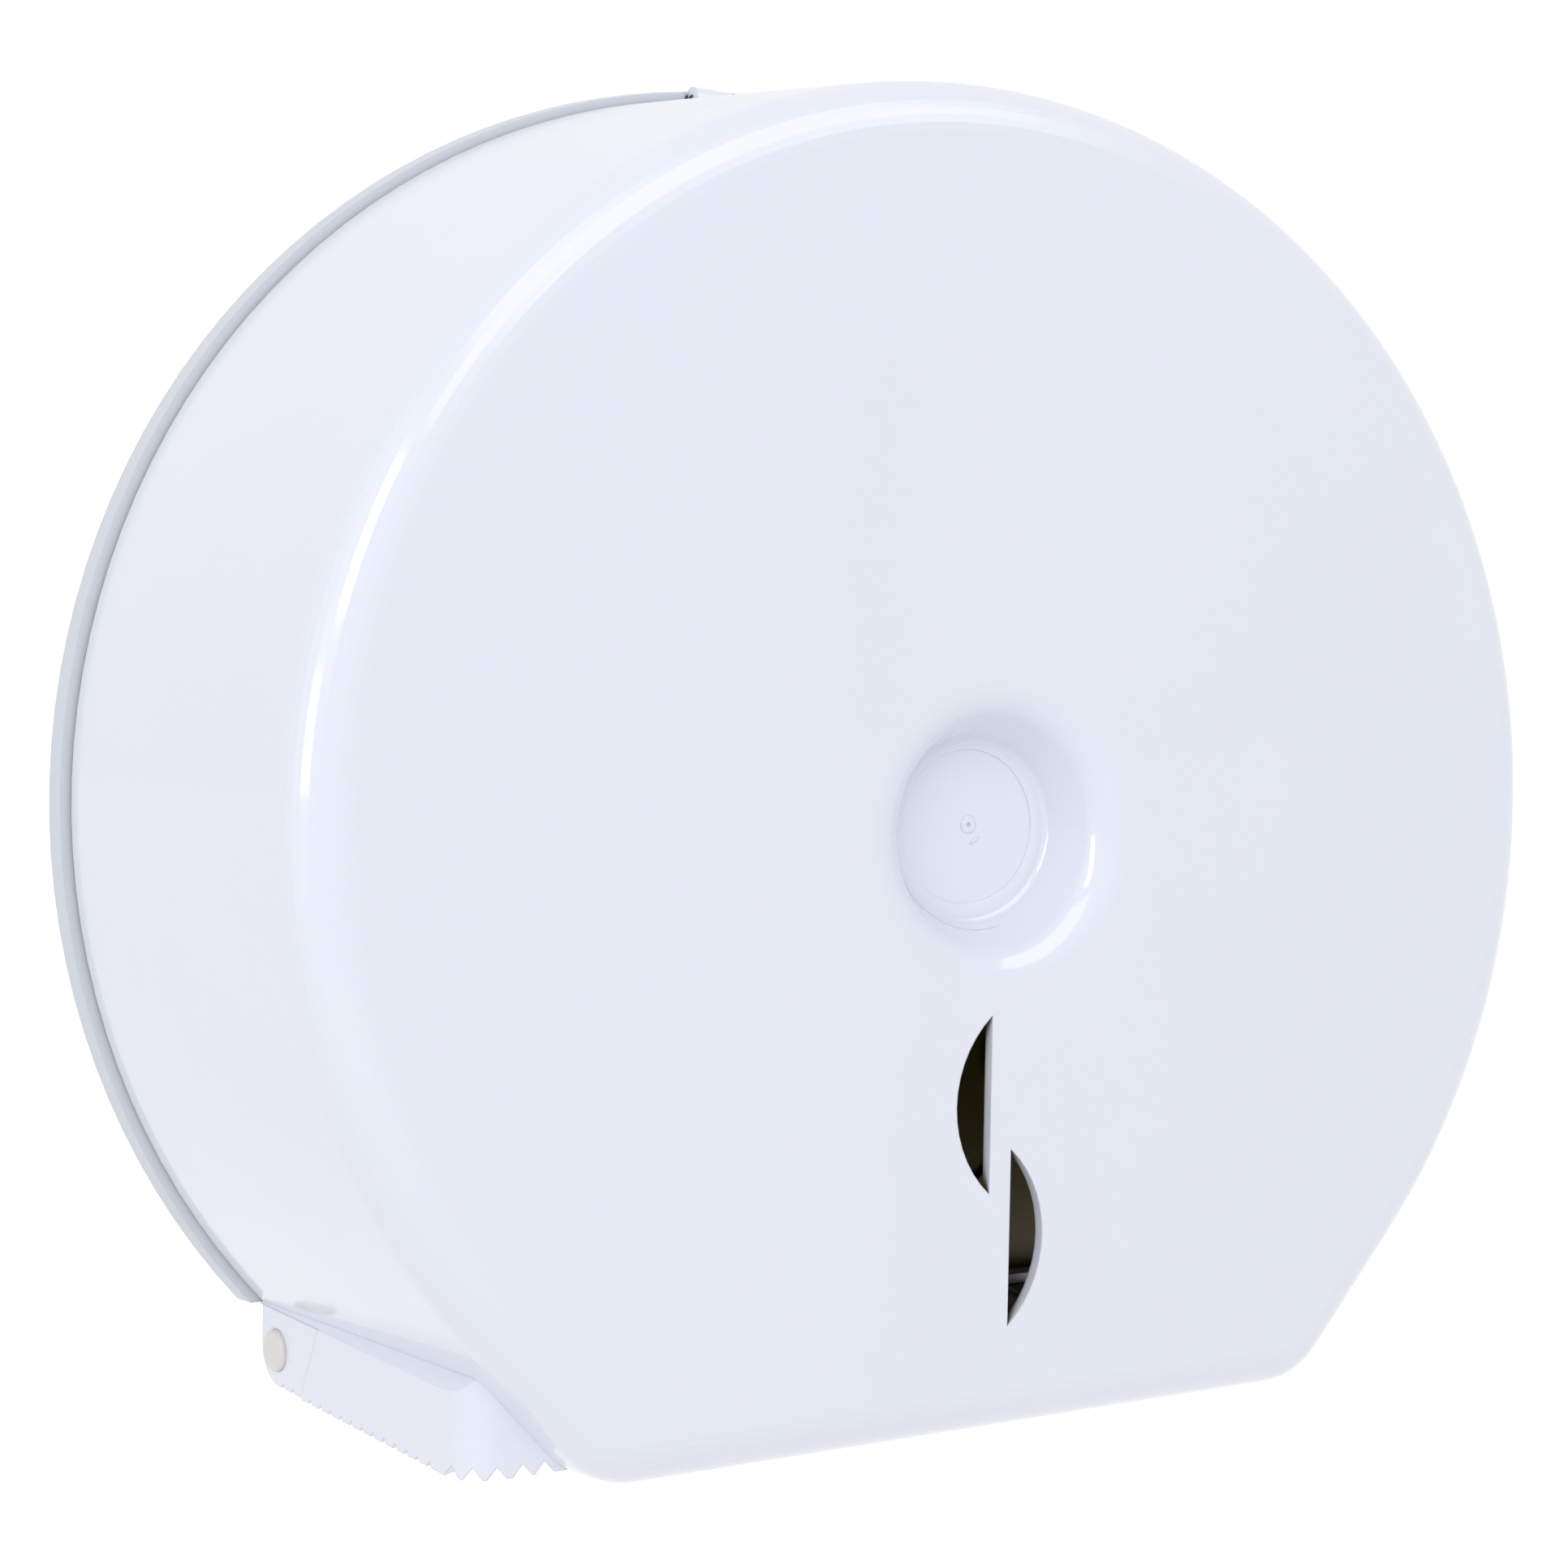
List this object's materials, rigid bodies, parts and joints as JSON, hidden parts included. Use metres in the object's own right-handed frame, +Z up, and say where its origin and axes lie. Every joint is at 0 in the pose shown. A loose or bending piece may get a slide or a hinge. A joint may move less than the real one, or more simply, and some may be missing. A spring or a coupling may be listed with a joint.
{
  "type": "jumbo toilet roll dispenser",
  "caption": "Wall-mounted round dispenser for jumbo toilet rolls: drum cover hinged at the top, level windows, toothed tear-off nozzles with push-button latches, turning roll hub.",
  "frame": {"origin": "on the wall plane, at the centre of the drum's circle, which is the spindle's axis", "axes": "+X to the right seen from the front, +Y into the wall, +Z up; the front faces -Y"},
  "size_m": [0.3386, 0.1073, 0.2992],
  "materials": {
    "cover_white": "glossy moulded plastic, cool white",
    "plate_grey": "satin moulded plastic, pale grey",
    "button_ivory": "glossy ivory plastic",
    "spring_steel": "rolled strip",
    "zinc_steel": "zinc plated",
    "hub_plastic": "moulded plastic, pale grey",
    "washer_nylon": "nylon",
    "brake_rubber": "dark grey rubber"
  },
  "bodies": {
    "wall_part": {"back_plate": "plate_grey", "hinge_pin": "zinc_steel", "spindle": "hub_plastic", "spindle_screws": "zinc_steel", "thrust_washer": "washer_nylon", "brake_washer": "brake_rubber", "retainer_cap": "cover_white", "cap_screw": "zinc_steel"},
    "cover": {"front_cover": "cover_white", "latch_spring_left": "spring_steel", "latch_spring_right": "spring_steel", "latch_screws": "zinc_steel"},
    "hub": {"core_hub": "hub_plastic", "core_adaptor": "hub_plastic"},
    "button_left": {"release_button_left": "button_ivory"},
    "button_right": {"release_button_right": "button_ivory"}
  },
  "joints": [
    {"name": "cover_hinge", "type": "hinge", "parent": "wall_part", "child": "cover", "pos_m": [0, -0.0062, 0.16378], "axis": [-1, 0, 0], "range_deg": [0, 90], "deforming": ["latch_spring_left", "latch_spring_right"]},
    {"name": "hub_spin", "type": "hinge", "parent": "wall_part", "child": "hub", "pos_m": [0, -0.045, 0], "axis": [0, 1, 0], "continuous": true},
    {"name": "button_left_press", "type": "slide", "parent": "cover", "child": "button_left", "axis": [0.9848, 0.1736, 0], "range_m": [0, 0.002], "stiffness_N_per_m": 800, "deforming": ["latch_spring_left"]},
    {"name": "button_right_press", "type": "slide", "parent": "cover", "child": "button_right", "axis": [-0.9848, 0.1736, 0], "range_m": [0, 0.002], "stiffness_N_per_m": 800, "deforming": ["latch_spring_right"]}
  ]
}
